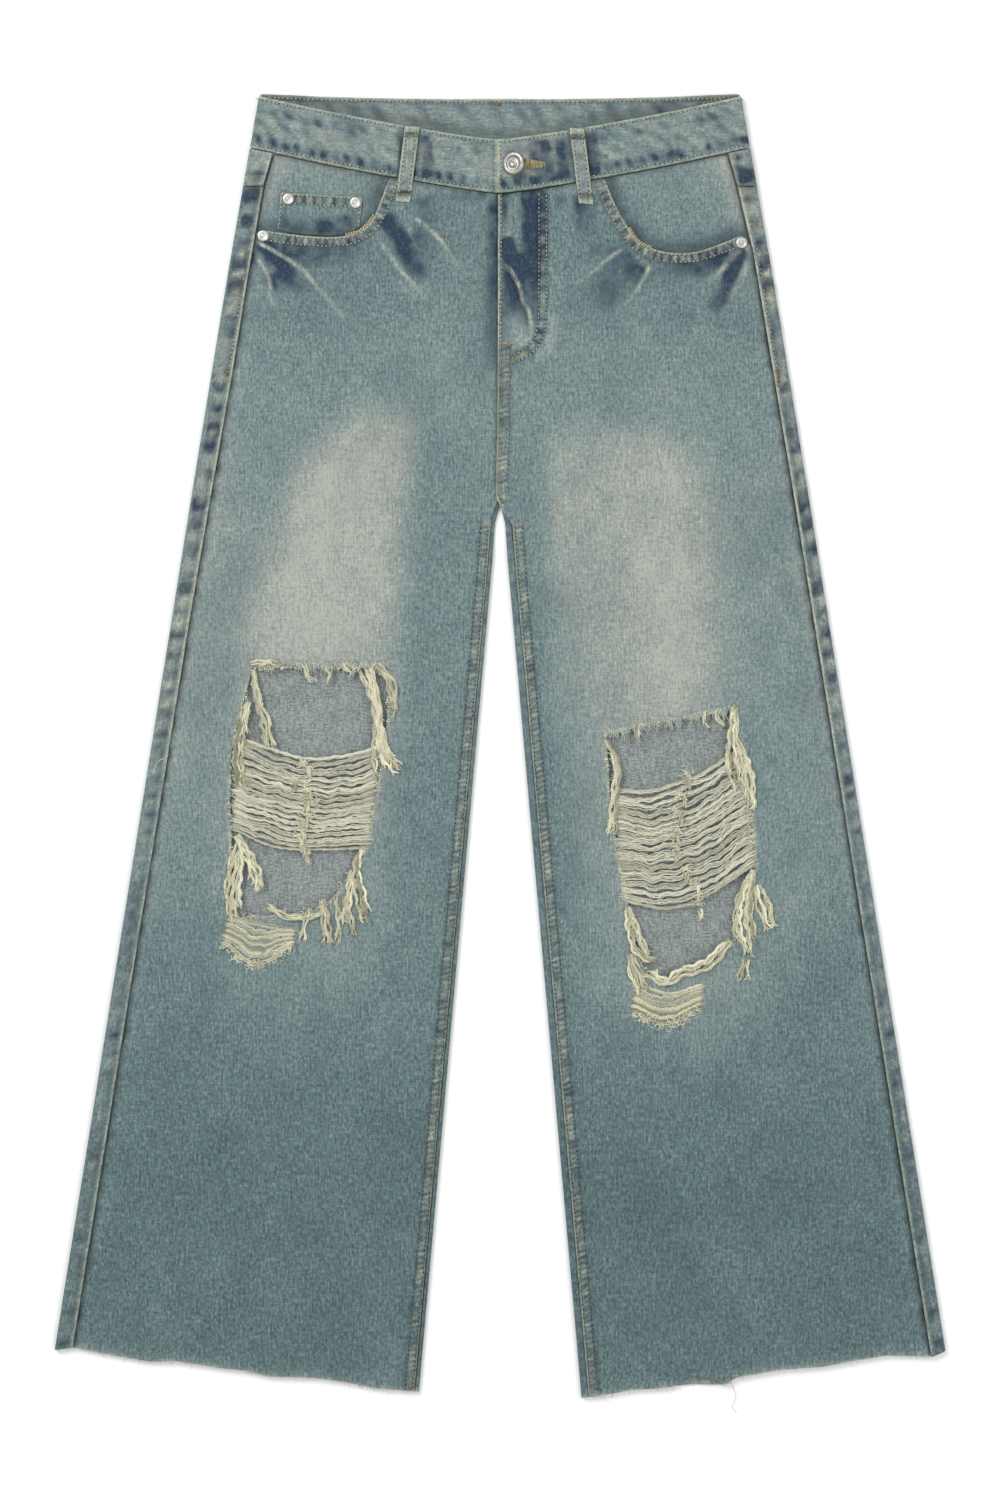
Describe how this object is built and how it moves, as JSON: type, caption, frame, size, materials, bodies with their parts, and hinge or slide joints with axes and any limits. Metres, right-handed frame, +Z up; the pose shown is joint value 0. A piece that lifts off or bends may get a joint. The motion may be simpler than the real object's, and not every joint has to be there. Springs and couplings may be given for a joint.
{
  "type": "ripped jeans",
  "caption": "Wide-leg denim jeans with torn, frayed knees and raw hems, buttoned at the waist, laid flat on their back on a surface.",
  "frame": {"origin": "on the surface the jeans lie on, under the middle of their length and width", "axes": "+X to the wearer's left, +Y from the hems to the waist, +Z up from the surface; the front of the jeans faces +Z"},
  "size_m": [0.7212, 1.0547, 0.018],
  "materials": {
    "denim": "washed teal-grey cotton twill, faded at the thighs",
    "thread": "undyed cream cotton yarn, frayed",
    "metal": "worn matte silver",
    "zip": "navy woven zip tape"
  },
  "bodies": {
    "root": {"front_right": "denim", "front_left": "denim", "back_right": "denim", "back_left": "denim", "yoke_right": "denim", "yoke_left": "denim", "back_pocket_right": "denim", "back_pocket_left": "denim", "pocket_facing_right": "denim", "pocket_facing_left": "denim", "coin_pocket": "denim", "waistband": "denim", "belt_loop_front_right": "denim", "belt_loop_front_left": "denim", "belt_loop_back_right": "denim", "belt_loop_back_centre": "denim", "belt_loop_back_left": "denim", "fly_zip": "zip", "waist_button": "metal", "rivet_coin_outer": "metal", "rivet_coin_inner": "metal", "rivet_pocket_right": "metal", "rivet_pocket_left": "metal", "knee_ladder_right": "thread", "knee_ladder_left": "thread", "knee_fringe_right_top": "thread", "knee_fringe_right_outer": "thread", "knee_fringe_right_inner": "thread", "knee_fringe_right_lower_outer": "thread", "knee_fringe_right_lower_inner": "thread", "knee_fringe_left_top": "thread", "knee_fringe_left_outer": "thread", "knee_fringe_left_inner": "thread", "knee_fringe_left_lower_outer": "thread", "knee_fringe_left_lower_inner": "thread"}
  },
  "joints": []
}
